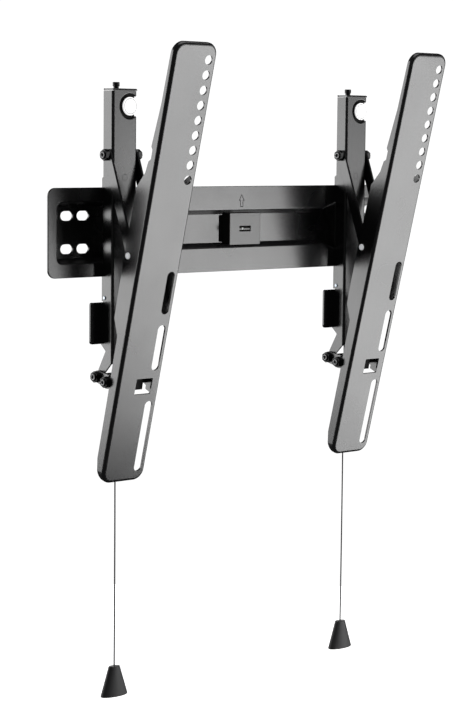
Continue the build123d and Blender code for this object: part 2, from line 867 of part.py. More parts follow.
def make_pull():
    """Flattened tapered handle."""
    with BuildPart() as pull:
        with BuildSketch(Plane.XY.offset(pull_top - pull_height)):
            with Locations((channel_x, cord_y)):
                Ellipse(*pull_foot_half)
        with BuildSketch(Plane.XY.offset(pull_top)):
            with Locations((channel_x, cord_y)):
                Ellipse(*pull_top_half)
        loft()
        fillet(pull.edges().sort_by(Axis.Z)[0], 1.0)
        fillet(pull.edges().sort_by(Axis.Z)[-1], 0.6)
    return pull.part


def make_bracket():
    """Every piece of one bracket, with the rail's middle at X = 0."""
    nut_left = arm_left - 0.2
    nut_right = arm_right + arm_thickness + 0.2
    nut_full = nut_height + collar_height
    a = (pivot_a_y, pivot_a_z)
    b = (pivot_b_y, pivot_b_z)
    c = (pivot_c_y, pivot_c_z)
    p = (pivot_p_y, pivot_p_z)
    snug = bolt_radius + running
    pieces = {
        "hook_slide": make_hook_slide(),
        "channel": make_channel(),
        "height_screw": make_height_screw(),
        "guide_rivet": make_guide_rivet(),
        "bumper_seat": make_bumper_seat(),
        "bumper_disc": make_bumper_disc(),
        "upper_arms": Compound(children=[
            bar(x, a, p, arm_width / 2, arm_width / 2, snug, rivet_radius + running)
            for x in (arm_left, arm_right)
        ]),
        "upper_bolt": rod(nut_left - nut_full + 1, nut_right + nut_full - 1, *a, bolt_radius),
        "upper_nuts": Compound(children=[nut(nut_left, -1, *a), nut(nut_right, 1, *a)]),
        "rail": make_rail(),
        "pivot_rivets": Compound(children=[
            dome_rivet(-rail_half, channel_left - gap, -1, *p),
            dome_rivet(rail_half, channel_right + gap, 1, *p),
        ]),
        "pivot_spacer": tube(nut_right, rail_half - sheet, *p, spacer_radius, rivet_radius + running),
        "lower_links": make_lower_yoke(b, c),
        "lower_bolt": rod(nut_left - nut_full + 1, nut_right + nut_full - 1, *b, bolt_radius),
        "lower_nuts": Compound(children=[nut(nut_left, -1, *b), nut(nut_right, 1, *b)]),
        "foot_bolt": rod(-rail_half - nut_full + 1, rail_half + nut_full - 1, *c, bolt_radius),
        "foot_nuts": Compound(children=[nut(-rail_half, -1, *c), nut(rail_half, 1, *c)]),
        "foot_spacers": Compound(children=[
            tube(channel_left, channel_right, *c, spacer_radius, snug),
            tube(nut_right, rail_half - sheet, *c, spacer_radius, snug),
        ]),
        "latch": make_latch(),
        "latch_rivets": make_latch_rivets(),
        "latch_spring": make_latch_spring(),
        "cord": make_cord(),
        "cord_crimp": make_cord_crimp(),
        "pull": make_pull(),
    }
    return pieces


save(make_wall_plate(), "wall_plate")
save(make_level_housing(), "level_housing")
save(make_level_vial(), "level_vial")
bracket = make_bracket()
for side, x in (("left", -bracket_spacing / 2), ("right", bracket_spacing / 2)):
    for name, piece in bracket.items():
        save(piece.moved(Location((x, 0, 0))), f"{side}_{name}")
print("P", round(pivot_p_y, 3), round(pivot_p_z, 3), "C", round(pivot_c_y, 3), round(pivot_c_z, 3))
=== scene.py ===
# %% [markdown]
# A tilting television bracket: one pressed steel plate that is screwed to a wall, and two hooked
# uprights that carry the screen. The solids come from the packed model. This lesson sets the
# camera and the studio, adds the small things that the solids show too simply or not at all, and
# then gives each piece its finish. The small things are the hanging cords, the nylon rings of the
# lock nuts, the catch springs, the groove line of painted shade on each bumper disc, the fluid in
# the level with a painted highlight, and the dark line of painted shade in the arrow.

# %% Load the packed model
import bpy
import json
import math
from mathutils import Vector, Matrix


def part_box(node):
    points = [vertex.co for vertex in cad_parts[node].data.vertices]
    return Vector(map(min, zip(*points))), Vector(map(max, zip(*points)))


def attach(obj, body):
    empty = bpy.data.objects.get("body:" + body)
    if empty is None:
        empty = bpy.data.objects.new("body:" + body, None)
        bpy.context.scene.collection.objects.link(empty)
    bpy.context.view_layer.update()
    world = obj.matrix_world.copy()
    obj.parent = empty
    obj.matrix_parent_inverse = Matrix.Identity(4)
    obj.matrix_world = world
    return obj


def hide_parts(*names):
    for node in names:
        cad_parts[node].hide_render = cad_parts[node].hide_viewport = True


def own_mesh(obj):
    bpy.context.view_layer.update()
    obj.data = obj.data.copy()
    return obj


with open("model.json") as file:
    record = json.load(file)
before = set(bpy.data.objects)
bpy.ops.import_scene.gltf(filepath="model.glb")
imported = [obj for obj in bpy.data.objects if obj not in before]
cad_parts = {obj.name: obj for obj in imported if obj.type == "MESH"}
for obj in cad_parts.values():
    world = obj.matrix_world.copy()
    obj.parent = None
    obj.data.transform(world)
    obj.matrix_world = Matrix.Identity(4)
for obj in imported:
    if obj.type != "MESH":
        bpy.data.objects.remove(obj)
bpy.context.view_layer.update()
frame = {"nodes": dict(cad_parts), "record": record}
SIDES = ("left", "right")
slot_of = {row["node"]: row["material_slot"] for row in frame["record"]["subparts"]}
print("solids in the packed model:", len(frame["nodes"]))
print("material slots:", sorted(set(slot_of.values())))

# %% [markdown]
# The camera stands to the left of the bracket, a little over two metres from its middle and
# a little above it. It could be moved by hand until the picture looks right, but a product
# with so many straight edges shows every degree. So its place was worked out from points
# that can be found both in the photograph and on the solids, such as the hole centres, and
# the place, the turns and the lens below are one measured set. A camera looks along its own
# -Z, so the three directions of its view become the columns of its matrix.

# %% Where the camera stands
CAMERA_PLACE = Vector((-1.4783, -1.6678, 0.0926))
CAMERA_YAW, CAMERA_PITCH, CAMERA_ROLL = (math.radians(a) for a in (41.427, -5.994, 0.538))
FOCAL_PIXELS = 2092.0


def camera_axes(yaw, pitch, roll):
    """The camera's right, up and forward directions from its three turns."""
    forward = Vector((
        math.sin(yaw) * math.cos(pitch),
        math.cos(yaw) * math.cos(pitch),
        math.sin(pitch),
    ))
    level_right = Vector((math.cos(yaw), -math.sin(yaw), 0.0))
    level_up = level_right.cross(forward)
    right = level_right * math.cos(roll) + level_up * math.sin(roll)
    return right, right.cross(forward), forward


right, up, forward = camera_axes(CAMERA_YAW, CAMERA_PITCH, CAMERA_ROLL)
print("the camera looks along:", [round(v, 3) for v in forward])

# %% [markdown]
# The lens was measured in pixels of the picture, and Blender wants it in millimetres. The
# long side of this picture is upright, so the sensor's width belongs to its height, and the
# one divided by the other turns pixels into millimetres.

# %% Camera at the photograph's place
SENSOR_WIDTH = 36.0
PICTURE_HEIGHT = 720.0
camera_data = bpy.data.cameras.new("Studio_camera")
camera_data.sensor_width = SENSOR_WIDTH
camera_data.lens = FOCAL_PIXELS * SENSOR_WIDTH / PICTURE_HEIGHT
camera_data.clip_start = 0.05
camera_data.clip_end = 50.0
camera = bpy.data.objects.new("Studio_camera", camera_data)
bpy.context.scene.collection.objects.link(camera)
camera.matrix_world = Matrix((
    (right.x, up.x, -forward.x, CAMERA_PLACE.x),
    (right.y, up.y, -forward.y, CAMERA_PLACE.y),
    (right.z, up.z, -forward.z, CAMERA_PLACE.z),
    (0.0, 0.0, 0.0, 1.0),
))
bpy.context.scene.camera = camera
print("lens in millimetres:", round(camera_data.lens, 1))

# %% [markdown]
# The release cords come next, because how far they hang decides how tall the model is. The
# real cord is a thin braided line, 1.5 mm thick, that carries a small plastic pull, so it
# hangs almost straight. A cylinder would look like wire, and a simulated rope would be far
# too much. A NURBS spline with four control points is enough, and they are the points of
# the solid's own route, in metres.

# %% Route of the cords
CORD_RADIUS = 0.00075
CORD_Y = -0.013
CORD_ROUTE = (
    (0.0, -0.0678),
    (-0.0001, -0.2),
    (0.0004, -0.33),
    (0.0, -0.446),
)
BRACKET_SPACING = 0.325
CHANNEL_X = -0.0064


def channel_middle(side):
    """The x of the middle of one bracket's upright, where its cord hangs."""
    return BRACKET_SPACING / 2 * (-1 if side == "left" else 1) + CHANNEL_X


print("cords hang at x:", [round(channel_middle(side), 4) for side in SIDES])

# %% [markdown]
# A curve is as thick as its bevel depth times the radius of its points. Blender also grows the
# curve's box by that radius, whatever the depth is. So the points take the cord's own radius and
# the depth is 1, and the box stays as slim as the cord. Each cord rides on the catch.


# %% Two release cords
def cord_curve(side):
    """The line of one cord from the catch down to its pull."""
    curve = bpy.data.curves.new(f"{side}_cord_line", "CURVE")
    curve.dimensions = "3D"
    curve.bevel_depth = 1.0
    curve.bevel_resolution = 4
    curve.resolution_u = 16
    curve.use_fill_caps = True
    spline = curve.splines.new("NURBS")
    spline.points.add(len(CORD_ROUTE) - 1)
    for point, (dx, z) in zip(spline.points, CORD_ROUTE):
        point.co = (channel_middle(side) + dx, CORD_Y, z, 1.0)
        point.radius = CORD_RADIUS
    spline.order_u = 3
    spline.use_endpoint_u = True
    return curve


def hanging_cord(side):
    """One cord that stands for its solid and comes down with the catch."""
    line = bpy.data.objects.new(f"{side}_braided_cord", cord_curve(side))
    bpy.context.scene.collection.objects.link(line)
    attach(line, f"{side}_catch")
    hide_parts(f"{side}_cord")
    return line


cords = {side: hanging_cord(side) for side in SIDES}
print("cords:", [line.name for line in cords.values()])

# %% [markdown]
# The studio is plain and white. A pale floor lies below the pulls, and a filled circle is
# enough for it, because only its even tone is seen. It glows by itself, so it stays white
# wherever the lamps stand. It is kept out of mirrored and bounced light, so that the black
# steel doesn't pick it up from below.

# %% Floor
FLOOR_RADIUS, FLOOR_HEIGHT = 1.1, -0.62
bpy.ops.object.select_all(action="DESELECT")
bpy.ops.mesh.primitive_circle_add(
    vertices=96, radius=FLOOR_RADIUS, fill_type="NGON", location=(0.0, 0.0, FLOOR_HEIGHT)
)
floor = bpy.context.active_object
floor.name = "Studio_floor"
floor_finish = bpy.data.materials.new("Pale floor")
floor_finish.use_nodes = True
floor_shader = floor_finish.node_tree.nodes["Principled BSDF"]
floor_shader.inputs["Base Color"].default_value = (0.9, 0.9, 0.9, 1.0)
floor_shader.inputs["Roughness"].default_value = 0.9
floor_shader.inputs["Emission Color"].default_value = (1.0, 1.0, 1.0, 1.0)
floor_shader.inputs["Emission Strength"].default_value = 1.0
floor.data.materials.append(floor_finish)
floor.visible_glossy = False
floor.visible_diffuse = False

# %% [markdown]
# The room is Blender's world. What the camera sees straight on is white. What the steel
# mirrors is dark, as black cloths round a product table make it, so that the bends and the
# bolt heads stay nearly black. One world does both: a Light Path node tells a ray that
# comes from the camera from every other, and chooses between two backgrounds. The Standard
# view keeps the white of the picture white.

# %% Surroundings
ROOM_SEEN, ROOM_MIRRORED = 1.05, 0.055
room = bpy.data.worlds.new("Studio_room")
bpy.context.scene.world = room
room.use_nodes = True
room_nodes, room_links = room.node_tree.nodes, room.node_tree.links
room_nodes.clear()


def backdrop(strength):
    """A plain white background of one strength."""
    white = room_nodes.new("ShaderNodeBackground")
    white.inputs["Color"].default_value = (1.0, 1.0, 1.0, 1.0)
    white.inputs["Strength"].default_value = strength
    return white.outputs["Background"]


ray = room_nodes.new("ShaderNodeLightPath")
choose = room_nodes.new("ShaderNodeMixShader")
room_out = room_nodes.new("ShaderNodeOutputWorld")
room_links.new(ray.outputs["Is Camera Ray"], choose.inputs["Fac"])
room_links.new(backdrop(ROOM_MIRRORED), choose.inputs[1])
room_links.new(backdrop(ROOM_SEEN), choose.inputs[2])
room_links.new(choose.outputs["Shader"], room_out.inputs["Surface"])
bpy.context.scene.view_settings.view_transform = "Standard"
print("room nodes:", len(room_nodes))

# %% [markdown]
# Black powder coat has hardly any tone of its own, so what it mirrors draws its shape. Point
# lamps would leave small hard spots, and six soft panels draw long pale reflections instead.
# A low one on the right lights the two sloping rails, and a small level one the wall plate,
# with a wide weak one round it. One behind on the left is for the side walls, one behind on
# the right for the back, and a weak one hangs overhead. Brightness is given per square
# metre, so a panel can be resized without growing brighter or darker in a reflection.

# %% Soft panels
# Each panel: name, place, point it faces, width and height, radiance.
SOFT_PANELS = (
    ("Low_panel", (1.54, -1.37, -0.86), (0.0, -0.1, -0.55), (1.9, 1.05), 4.6),
    ("Front_panel", (1.20, -1.45, -0.12), (0.0, -0.1, 0.0), (0.46, 0.44), 3.6),
    ("Fill_panel", (1.25, -1.55, 0.10), (0.0, -0.1, 0.0), (1.5, 1.0), 1.2),
    ("Side_panel", (-1.4, 1.6, 0.2), (0.0, 0.0, -0.05), (1.4, 1.55), 3.4),
    ("Back_panel", (1.6, 1.9, 0.05), (0.0, 0.0, -0.05), (1.7, 1.5), 2.6),
    ("Top_panel", (0.2, -0.3, 1.6), (0.0, -0.05, 0.0), (1.6, 1.2), 1.2),
)


def soft_panel(name, place, aim, size, radiance):
    """A rectangular light at a place, turned towards a point, as bright as asked."""
    width, height = size
    data = bpy.data.lights.new(name, "AREA")
    data.shape = "RECTANGLE"
    data.size, data.size_y = width, height
    data.energy = radiance * math.pi * width * height
    panel = bpy.data.objects.new(name, data)
    bpy.context.scene.collection.objects.link(panel)
    panel.location = place
    direction = Vector(aim) - Vector(place)
    panel.rotation_mode = "QUATERNION"
    panel.rotation_quaternion = direction.to_track_quat("-Z", "Y")
    panel.visible_camera = False
    return panel


panels = [soft_panel(*row) for row in SOFT_PANELS]
print("panels:", [(panel.name, round(panel.data.energy, 1)) for panel in panels])

# %% [markdown]
# Several small pieces are turned ones: the same outline all the way round a line. A torus
# would give a round section, and these are flat. So a few corners of an outline are set
# beside the line and spun round it once, which closes on itself. The spin can leave doubled
# points and faces that look inwards, so both are put right.

# %% Helper: a ring spun round a line
NEARLY_NOTHING = 0.00001
FLAT_STAYS_FLAT = math.radians(40.0)


def turned_ring(name, centre, axis, profile, steps=40):
    """A closed ring: (radius, height along the axis) pairs spun round the centre."""
    axis = Vector(axis)
    outward = Vector((0.0, 0.0, 1.0)) if abs(axis.z) < 0.5 else Vector((1.0, 0.0, 0.0))
    bpy.ops.object.select_all(action="DESELECT")
    bpy.ops.mesh.primitive_circle_add(
        vertices=len(profile), radius=0.001, location=(0.0, 0.0, 0.0)
    )
    ring = bpy.context.active_object
    ring.name = name
    for vertex, (radius, along) in zip(ring.data.vertices, profile):
        vertex.co = Vector(centre) + outward * radius + axis * along
    bpy.ops.object.mode_set(mode="EDIT")
    bpy.ops.mesh.select_all(action="SELECT")
    bpy.ops.mesh.spin(steps=steps, angle=2 * math.pi, center=centre, axis=axis)
    bpy.ops.mesh.select_all(action="SELECT")
    bpy.ops.mesh.remove_doubles(threshold=NEARLY_NOTHING)
    bpy.ops.mesh.normals_make_consistent(inside=False)
    bpy.ops.object.mode_set(mode="OBJECT")
    bpy.ops.object.shade_smooth_by_angle(angle=FLAT_STAYS_FLAT)
    return ring


print("turned_ring:", turned_ring.__doc__)

# Two small helpers read them, so that no place has to be typed a second time.


# %% Helpers: where a piece belongs
def body_of(node):
    """The moving body that carries a node."""
    for body, members in frame["record"]["behaviour"]["bodies"].items():
        if node in members:
            return body
    return "root"


def middle_of(node):
    """The middle of a node's box."""
    low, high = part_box(node)
    return (Vector(low) + Vector(high)) / 2


print("the left foot bolt rides on:", body_of("left_foot_bolt"))

# %% [markdown]
# A lock nut holds a ring of pale nylon that grips the bolt, so the end of each bolt shows as
# a dark spot in a light ring. Each bolt has a nut at both ends, and the packed bolt's box
# gives the line and the two ends. The outline below is flat on top, with a small chamfer on
# either side, because a sharp edge catches no light.

# %% Nylon rings in the lock nuts
NUT_RING = (
    (0.0029, -0.0002), (0.0029, 0.0006), (0.0027, 0.0009),
    (0.0022, 0.0009), (0.0020, 0.0006), (0.0020, -0.0002),
)
nut_rings = []
for side in SIDES:
    for joint in ("upper", "lower", "foot"):
        bolt = f"{side}_{joint}_bolt"
        low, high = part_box(bolt)
        middle = middle_of(bolt)
        for end, x, way in (("outer", low[0], -1.0), ("inner", high[0], 1.0)):
            ring = turned_ring(
                f"{side}_{joint}_{end}_ring", (x, middle.y, middle.z), (way, 0.0, 0.0), NUT_RING
            )
            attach(ring, body_of(bolt))
            nut_rings.append(ring)
print("nylon rings:", len(nut_rings), "of", len(nut_rings[0].data.polygons), "faces")

# %% [markdown]
# A coil spring round each cord pushes the catch up. When the cord is pulled, the catch comes down
# eight millimetres and the spring shortens, which a rigid solid can't do. The coil made again here
# is rigid too, and rides with its solid's body. A curve could draw it, but the Screw modifier
# needs only a small circle, a rise and a number of turns. Its two ends are closed afterwards.

# %% Shape of a catch spring
SPRING_RADIUS, SPRING_WIRE, SPRING_TURNS = 0.0034, 0.00045, 5
SPRING_FOOT, SPRING_TOP = -0.0940, -0.0698
SPRING_LENGTH = SPRING_TOP - SPRING_FOOT
SPRING_STEPS = 32
ROUND_STAYS_ROUND = math.radians(50.0)


def coil_shape(name, place):
    """A closed coil whose wire starts at a place on the spring's line."""
    bpy.ops.object.select_all(action="DESELECT")
    bpy.ops.mesh.primitive_circle_add(
        vertices=10, radius=SPRING_WIRE, location=(0.0, 0.0, 0.0), rotation=(math.pi / 2, 0.0, 0.0)
    )
    coil = bpy.context.active_object
    coil.name = name
    bpy.ops.object.transform_apply(location=True, rotation=True, scale=True)
    bpy.ops.object.mode_set(mode="EDIT")
    bpy.ops.transform.translate(value=(SPRING_RADIUS, 0.0, 0.0))
    bpy.ops.object.mode_set(mode="OBJECT")
    turns = coil.modifiers.new("Turns", "SCREW")
    turns.screw_offset = (SPRING_LENGTH - 2 * SPRING_WIRE) / SPRING_TURNS
    turns.iterations = SPRING_TURNS
    turns.steps = turns.render_steps = SPRING_STEPS
    bpy.ops.object.modifier_apply(modifier="Turns")
    bpy.ops.object.mode_set(mode="EDIT")
    bpy.ops.mesh.select_all(action="SELECT")
    bpy.ops.mesh.fill_holes(sides=12)
    bpy.ops.mesh.select_all(action="SELECT")
    bpy.ops.mesh.normals_make_consistent(inside=False)
    bpy.ops.transform.translate(value=place)
    bpy.ops.object.mode_set(mode="OBJECT")
    bpy.ops.object.shade_smooth_by_angle(angle=ROUND_STAYS_ROUND)
    return coil


print("spring length in millimetres:", round(SPRING_LENGTH * 1000, 1))


def catch_coil(side):
    """One spring between the upright's lug and the catch."""
    x = channel_middle(side)
    coil = coil_shape(f"{side}_catch_coil", (x, CORD_Y, SPRING_FOOT + SPRING_WIRE))
    node = f"{side}_latch_spring"
    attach(coil, body_of(node))
    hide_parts(node)
    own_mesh(coil)
    return coil


coils = [catch_coil(side) for side in SIDES]
print("coils:", [(coil.name, len(coil.data.polygons)) for coil in coils])

# %% [markdown]
# The white bumper disc has a thin groove near its rim. The solid has it too, but a groove in a
# flat, bright face hardly shows, and in the photograph it is a fine grey line, the shade inside
# the groove. So that shade is painted on: a hair-thin grey ring, spun in the same way, that lies
# on the disc.

# %% Painted shade in the grooves of the bumper discs
GROOVE_RADIUS, GROOVE_HALF, GROOVE_TOP = 0.0075, 0.0003, 0.0001
GROOVE_LINE = (
    (GROOVE_RADIUS - GROOVE_HALF, 0.0),
    (GROOVE_RADIUS - GROOVE_TOP, GROOVE_TOP),
    (GROOVE_RADIUS + GROOVE_TOP, GROOVE_TOP),
    (GROOVE_RADIUS + GROOVE_HALF, 0.0),
)
disc_lines = []
for side in SIDES:
    disc = f"{side}_bumper_disc"
    middle = middle_of(disc)
    front = (middle.x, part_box(disc)[0][1], middle.z)
    line = turned_ring(f"{side}_disc_groove", front, (0.0, -1.0, 0.0), GROOVE_LINE, 64)
    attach(line, body_of(disc))
    disc_lines.append(line)
print("groove lines:", len(disc_lines))

# %% [markdown]
# Behind the level's window lies the vial: a clear tube whose fluid shows as one pale rounded bar
# against the dark inside of the cap. The bar is the fluid with the tube's highlight painted on. A
# sphere is a good start for that bar. Its two halves are pulled apart in edit mode, and the middle
# stretches into a straight tube. The solid vial isn't see-through, so the bar stands a fifth of a
# millimetre out of its front.

# %% Fluid in the level, with a painted highlight
BAR_RADIUS, BAR_PROUD = 0.0018, 0.0002
BAR_LEFT, BAR_RIGHT = -0.0094, 0.0056
vial_low, vial_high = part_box("level_vial")
bpy.ops.object.select_all(action="DESELECT")
bpy.ops.mesh.primitive_uv_sphere_add(
    segments=32, ring_count=16, radius=BAR_RADIUS,
    location=(0.0, 0.0, 0.0), rotation=(0.0, math.pi / 2, 0.0),
)
fluid_highlight_bar = bpy.context.active_object
fluid_highlight_bar.name = "level_fluid_highlight"
bpy.ops.object.transform_apply(location=True, rotation=True, scale=True)
half_length = (BAR_RIGHT - BAR_LEFT) / 2 - BAR_RADIUS
for way in (-1.0, 1.0):
    bpy.ops.object.mode_set(mode="OBJECT")
    for vertex in fluid_highlight_bar.data.vertices:
        vertex.select = vertex.co.x * way > NEARLY_NOTHING
    bpy.ops.object.mode_set(mode="EDIT")
    bpy.ops.transform.translate(value=(way * half_length, 0.0, 0.0))
bpy.ops.mesh.select_all(action="SELECT")
bpy.ops.transform.translate(value=(
    (BAR_LEFT + BAR_RIGHT) / 2,
    vial_low[1] + BAR_RADIUS - BAR_PROUD,
    (vial_low[2] + vial_high[2]) / 2,
))
bpy.ops.object.mode_set(mode="OBJECT")
bpy.ops.object.shade_smooth_by_angle(angle=ROUND_STAYS_ROUND)
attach(fluid_highlight_bar, body_of("level_vial"))
print("fluid bar:", [round(v * 1000, 1) for v in fluid_highlight_bar.dimensions], "mm")

# %% [markdown]
# The plate carries one engraved arrow that shows which way is up. Its groove lies in shade and
# looks darker than the face, and that shade is painted. It could be a dark patch in the plate's
# finish, but a piece of its own keeps a sharp edge. So a thin black band of painted shade lies in
# the groove: a flat outline is inset by the line's width, its middle is taken out, and Solidify
# gives the band its thickness.

# %% Painted shade in the engraved arrow
ARROW_X, ARROW_FOOT, ARROW_HEIGHT, ARROW_HEAD = 0.0016, 0.0226, 0.0136, 0.0069
ARROW_HALF, SHAFT_HALF, ARROW_LINE, ARROW_DEPTH = 0.00395, 0.0021, 0.0007, 0.0004
BAND_THICKNESS = 0.00005
neck = ARROW_FOOT + ARROW_HEIGHT - ARROW_HEAD
arrow_outline = (
    (0.0, ARROW_FOOT + ARROW_HEIGHT),
    (ARROW_HALF, neck),
    (SHAFT_HALF, neck),
    (SHAFT_HALF, ARROW_FOOT),
    (-SHAFT_HALF, ARROW_FOOT),
    (-SHAFT_HALF, neck),
    (-ARROW_HALF, neck),
)
bpy.ops.object.select_all(action="DESELECT")
bpy.ops.mesh.primitive_circle_add(
    vertices=len(arrow_outline), radius=0.001, fill_type="NGON", location=(0.0, 0.0, 0.0)
)
arrow = bpy.context.active_object
arrow.name = "plate_arrow_line"
plate_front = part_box("wall_plate")[0][1]
for vertex, (x, z) in zip(arrow.data.vertices, arrow_outline):
    vertex.co = Vector((ARROW_X + x, plate_front + ARROW_DEPTH - BAND_THICKNESS, z))
bpy.ops.object.mode_set(mode="EDIT")
bpy.ops.mesh.select_all(action="SELECT")
bpy.ops.mesh.inset(thickness=ARROW_LINE, depth=0.0)
bpy.ops.mesh.delete(type="FACE")
bpy.ops.object.mode_set(mode="OBJECT")
solidify = arrow.modifiers.new("Thickness", "SOLIDIFY")
solidify.thickness = BAND_THICKNESS
solidify.offset = 0.0
bpy.ops.object.modifier_apply(modifier="Thickness")
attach(arrow, "wall")
print("arrow line faces:", len(arrow.data.polygons))

# %% [markdown]
# Finishes are made of nodes, and the same few steps come back in each, so each step is
# written once as a helper. The first two make a new finish with its shader, and a noise
# pattern. Every pattern reads Object coordinates, so it keeps its real size and stays on the
# piece when the piece moves. A value that is the same all over is typed into the shader's
# own socket.


# %% Helpers: a new finish and a pattern
def new_finish(name):
    """An empty node finish with its shader and its output joined."""
    finish = bpy.data.materials.new(name)
    finish.use_nodes = True
    nodes = finish.node_tree.nodes
    nodes.clear()
    shader = nodes.new("ShaderNodeBsdfPrincipled")
    out = nodes.new("ShaderNodeOutputMaterial")
    finish.node_tree.links.new(shader.outputs["BSDF"], out.inputs["Surface"])
    return finish, nodes, finish.node_tree.links, shader


def noise(nodes, links, where, scale, detail, roughness=0.5):
    """A noise pattern at a scale per metre, on Object coordinates."""
    pattern = nodes.new("ShaderNodeTexNoise")
    pattern.inputs["Scale"].default_value = scale
    pattern.inputs["Detail"].default_value = detail
    pattern.inputs["Roughness"].default_value = roughness
    links.new(where.outputs["Object"], pattern.inputs["Vector"])
    return pattern


print("finishes so far:", [finish.name for finish in bpy.data.materials])

# %% [markdown]
# A noise pattern runs about from 0 to 1. For a roughness it is mapped to a narrow range with
# Map Range, and for a colour it goes through a ramp between two close tones. Wider ranges
# would look like dirt.


# %% Helpers: from a pattern to a value or a colour
def spread(nodes, links, source, low, high, out_low, out_high):
    """Maps one range of a pattern to another."""
    ranger = nodes.new("ShaderNodeMapRange")
    ranger.inputs["From Min"].default_value = low
    ranger.inputs["From Max"].default_value = high
    ranger.inputs["To Min"].default_value = out_low
    ranger.inputs["To Max"].default_value = out_high
    links.new(source, ranger.inputs["Value"])
    return ranger.outputs["Result"]


def two_tones(nodes, links, factor, dark, light):
    """A colour that runs between two tones."""
    ramp = nodes.new("ShaderNodeValToRGB")
    ramp.color_ramp.elements[0].color = (*dark, 1.0)
    ramp.color_ramp.elements[1].color = (*light, 1.0)
    links.new(factor, ramp.inputs["Fac"])
    return ramp.outputs["Color"]


print("spread:", spread.__doc__, "two_tones:", two_tones.__doc__)

# %% [markdown]
# Fine relief is a bump: it turns the surface's normal and moves no face, which is right for
# hollows of a few hundredths of a millimetre. Several bumps are chained, each on top of the
# last, so that a coarse wave and a fine grain keep their own depth.


# %% Helper: relief
def relief(nodes, links, shader, heights):
    """One bump after another: (height socket, depth in metres, strength)."""
    last = None
    for socket, depth, strength in heights:
        bump = nodes.new("ShaderNodeBump")
        bump.inputs["Distance"].default_value = depth
        bump.inputs["Strength"].default_value = strength
        links.new(socket, bump.inputs["Height"])
        if last is not None:
            links.new(last, bump.inputs["Normal"])
        last = bump.outputs["Normal"]
    links.new(last, shader.inputs["Normal"])


print("relief:", relief.__doc__)

# %% [markdown]
# Powder coating is a paint melted on as a fine dust. Up close it is not flat: it has a low
# orange-peel waviness about a millimetre across and a much finer grain on top. Flat black with one
# roughness would look like plastic film. Here two noise patterns drive one bump each, the grain
# also shifts the black a little, and a slow third noise changes the gloss from place to place. The
# nuts, spacers, height screws and catch springs are black zinc, which is duller. A darker and
# duller copy of the coat is painted shade, for the faces of the lower links that lie in shade.

# %% Powder coated steel
GLOSS_SCALE, PEEL_SCALE, GRAIN_SCALE = 14.0, 900.0, 3200.0


def powder_coat(name, roughness_low, roughness_high, dark, light, gloss=1.0):
    """Black powder coat: orange peel, grain and slow changes of gloss."""
    finish, nodes, links, shader = new_finish(name)
    where = nodes.new("ShaderNodeTexCoord")
    slow = noise(nodes, links, where, GLOSS_SCALE, 3.0)
    peel = noise(nodes, links, where, PEEL_SCALE, 2.0)
    grain = noise(nodes, links, where, GRAIN_SCALE, 3.0, 0.6)
    links.new(
        two_tones(nodes, links, grain.outputs["Fac"], dark, light),
        shader.inputs["Base Color"],
    )
    links.new(
        spread(nodes, links, slow.outputs["Fac"], 0.1, 0.9, roughness_low, roughness_high),
        shader.inputs["Roughness"],
    )
    shader.inputs["Specular IOR Level"].default_value = gloss
    relief(nodes, links, shader, [
        (peel.outputs["Fac"], 0.00004, 0.18),
        (grain.outputs["Fac"], 0.000015, 0.2),
    ])
    return finish


steel_coat = powder_coat(
    "Powder coated steel", 0.19, 0.32, (0.006, 0.006, 0.007), (0.014, 0.014, 0.015)
)
nut_coat = powder_coat(
    "Black zinc", 0.34, 0.44, (0.004, 0.004, 0.005), (0.009, 0.009, 0.010), 0.5
)
# Painted shade: a darker, duller copy of the coat for the lower links' faces that lie in shade.
painted_shade_coat = powder_coat(
    "Painted shade on the lower links", 0.55, 0.70, (0.004, 0.004, 0.004), (0.008, 0.008, 0.008), 0.2
)
print("coats:", [coat.name for coat in (steel_coat, nut_coat, painted_shade_coat)])

# %% [markdown]
# The catch's rivets and the cord's crimp are bare zinc plate: a grey metal with a bluish cast
# and a faint cloudiness where the plating bath left it. A full metal with a cloudy tone and
# a fine change of roughness does it. The pivot rivets are brighter and stand among black
# sheet, where a full metal would only mirror the dark. So they are less metallic, and glow
# a little, which gives the pale spots that they are in the photograph.

# %% Zinc plate
CLOUD_SCALE, BATH_SCALE = 420.0, 2600.0


def zinc_plate(name, dark, light, roughness, metallic=1.0):
    """Zinc with a cloudy gloss."""
    finish, nodes, links, shader = new_finish(name)
    where = nodes.new("ShaderNodeTexCoord")
    cloud = noise(nodes, links, where, CLOUD_SCALE, 4.0)
    fine = noise(nodes, links, where, BATH_SCALE, 2.0)
    links.new(
        two_tones(nodes, links, cloud.outputs["Fac"], dark, light),
        shader.inputs["Base Color"],
    )
    shader.inputs["Metallic"].default_value = metallic
    links.new(
        spread(nodes, links, fine.outputs["Fac"], 0.2, 0.8, roughness - 0.08, roughness + 0.08),
        shader.inputs["Roughness"],
    )
    relief(nodes, links, shader, [(fine.outputs["Fac"], 0.00001, 0.4)])
    return finish


def glow(finish, colour, strength):
    """Light of a finish's own, for a pale piece that has only dark pieces to mirror."""
    shader = finish.node_tree.nodes["Principled BSDF"]
    shader.inputs["Emission Color"].default_value = (*colour, 1.0)
    shader.inputs["Emission Strength"].default_value = strength


zinc = zinc_plate("Zinc plate", (0.24, 0.27, 0.31), (0.42, 0.46, 0.51), 0.30)
rivet_zinc = zinc_plate(
    "Bright rivet zinc", (0.74, 0.75, 0.77), (0.90, 0.91, 0.92), 0.50, 0.3
)
glow(rivet_zinc, (0.88, 0.90, 0.92), 0.42)
print("zinc:", [plate.name for plate in (zinc, rivet_zinc)])

# %% [markdown]
# The level's cap is moulded in black and the pulls in a matt dark grey, with the fine spark
# grain of a mould. A photograph of that grain would do it too, but a noise pattern has no
# seams and no fixed size. It is made as powder coat is, with the grain now changing the
# gloss and the slow noise the tone.

# %% Helper: a moulded surface
TONE_SCALE = 60.0


